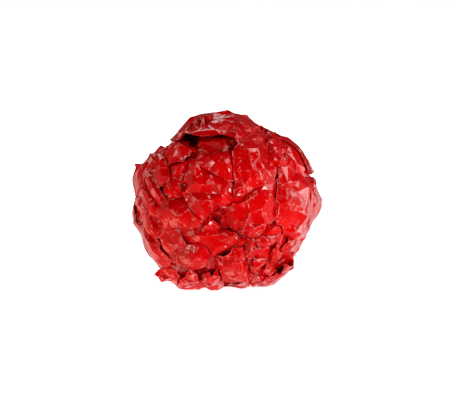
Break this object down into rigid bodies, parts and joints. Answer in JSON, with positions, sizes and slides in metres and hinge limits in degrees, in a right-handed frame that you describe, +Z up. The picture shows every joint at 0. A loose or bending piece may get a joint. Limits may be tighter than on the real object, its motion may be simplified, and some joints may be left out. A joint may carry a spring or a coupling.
{
  "type": "crumpled paper ball",
  "caption": "Palm-sized ball of crumpled glossy red paper with overlapping creased folds and small springy flaps, resting on one pressed face.",
  "frame": {"origin": "on the resting surface, under the middle of the ball's bounding box", "axes": "+Z up, +X along the ball's widest direction, -Y towards the side with the authored folds"},
  "size_m": [0.1006, 0.0934, 0.0935],
  "materials": {
    "red_paper": "gloss",
    "red_paper_flap": "gloss",
    "red_paper_inner": "gloss"
  },
  "bodies": {
    "ball": {"core_wad": "red_paper_inner", "fold_apron": "red_paper", "fold_apron_lip": "red_paper", "fold_back_1": "red_paper", "fold_back_10": "red_paper", "fold_back_11": "red_paper", "fold_back_2": "red_paper", "fold_back_3": "red_paper", "fold_back_4": "red_paper", "fold_back_5": "red_paper", "fold_back_6": "red_paper", "fold_back_7": "red_paper", "fold_back_8": "red_paper", "fold_back_9": "red_paper", "fold_base": "red_paper", "fold_breast": "red_paper", "fold_brow": "red_paper", "fold_centre": "red_paper", "fold_cheek_left": "red_paper", "fold_cheek_upper": "red_paper", "fold_column": "red_paper", "fold_crumple": "red_paper", "fold_eye": "red_paper", "fold_gully": "red_paper", "fold_jaw": "red_paper", "fold_kite_root": "red_paper", "fold_knuckle": "red_paper", "fold_left_lower": "red_paper", "fold_low_plate": "red_paper", "fold_low_right_crumple": "red_paper", "fold_lower_middle": "red_paper", "fold_lump_left": "red_paper", "fold_lump_right": "red_paper", "fold_pocket_side": "red_paper", "fold_recess": "red_paper", "fold_right_low_inner": "red_paper", "fold_right_low_lower": "red_paper", "fold_right_low_upper": "red_paper", "fold_right_shoulder": "red_paper", "fold_spike": "red_paper", "fold_strip_lower": "red_paper", "fold_strip_middle": "red_paper", "fold_strip_temple": "red_paper", "fold_strip_upper": "red_paper", "fold_temple": "red_paper", "fold_temple_upper": "red_paper", "fold_upper_left": "red_paper", "fold_upper_right": "red_paper", "fold_wedge": "red_paper", "inner_fold_left": "red_paper_inner", "inner_fold_low": "red_paper_inner", "inner_fold_right": "red_paper_inner", "inner_fold_top": "red_paper_inner"},
    "corner_flap": {"flap_corner": "red_paper_flap"},
    "ear_flap": {"flap_ear": "red_paper_flap"},
    "hood_flap": {"flap_hood": "red_paper_flap"},
    "kite_flap": {"flap_kite": "red_paper_flap"},
    "pocket_flap": {"flap_pocket": "red_paper_flap"},
    "tongue_flap": {"flap_tongue": "red_paper_flap"},
    "wing_flap": {"flap_wing": "red_paper_flap"}
  },
  "joints": [
    {"name": "corner_crease", "type": "hinge", "parent": "ball", "child": "corner_flap", "pos_m": [0.03263, 0.02404, 0.06857], "axis": [-0.6823, 0.0763, 0.7271], "range_deg": [0, 35], "stiffness_Nm_per_rad": 0.003, "springref_deg": -11.46},
    {"name": "ear_crease", "type": "hinge", "parent": "ball", "child": "ear_flap", "pos_m": [-0.04653, 0.01189, 0.05454], "axis": [-0.1127, -0.2278, -0.9672], "range_deg": [0, 35], "stiffness_Nm_per_rad": 0.003, "springref_deg": -11.46},
    {"name": "hood_crease", "type": "hinge", "parent": "ball", "child": "hood_flap", "pos_m": [-0.00359, 0.01843, 0.08594], "axis": [-0.9994, 0.0305, -0.0189], "range_deg": [0, 20], "stiffness_Nm_per_rad": 0.003, "springref_deg": -11.46},
    {"name": "kite_crease", "type": "hinge", "parent": "ball", "child": "kite_flap", "pos_m": [0.02214, -0.03834, 0.03614], "axis": [-0.8247, -0.5641, 0.041], "range_deg": [0, 45], "stiffness_Nm_per_rad": 0.003, "springref_deg": -11.46},
    {"name": "pocket_crease", "type": "hinge", "parent": "ball", "child": "pocket_flap", "pos_m": [0.02464, 0.00596, 0.00652], "axis": [0.853, 0.0027, 0.5219], "range_deg": [0, 30], "stiffness_Nm_per_rad": 0.003, "springref_deg": -11.46},
    {"name": "tongue_crease", "type": "hinge", "parent": "ball", "child": "tongue_flap", "pos_m": [-0.02833, -0.03155, 0.02454], "axis": [-0.4881, 0.6608, -0.5701], "range_deg": [0, 30], "stiffness_Nm_per_rad": 0.003, "springref_deg": -11.46},
    {"name": "wing_crease", "type": "hinge", "parent": "ball", "child": "wing_flap", "pos_m": [0.04385, 0.01509, 0.04217], "axis": [0, 0.3498, 0.9368], "range_deg": [0, 35], "stiffness_Nm_per_rad": 0.003, "springref_deg": -11.46}
  ]
}
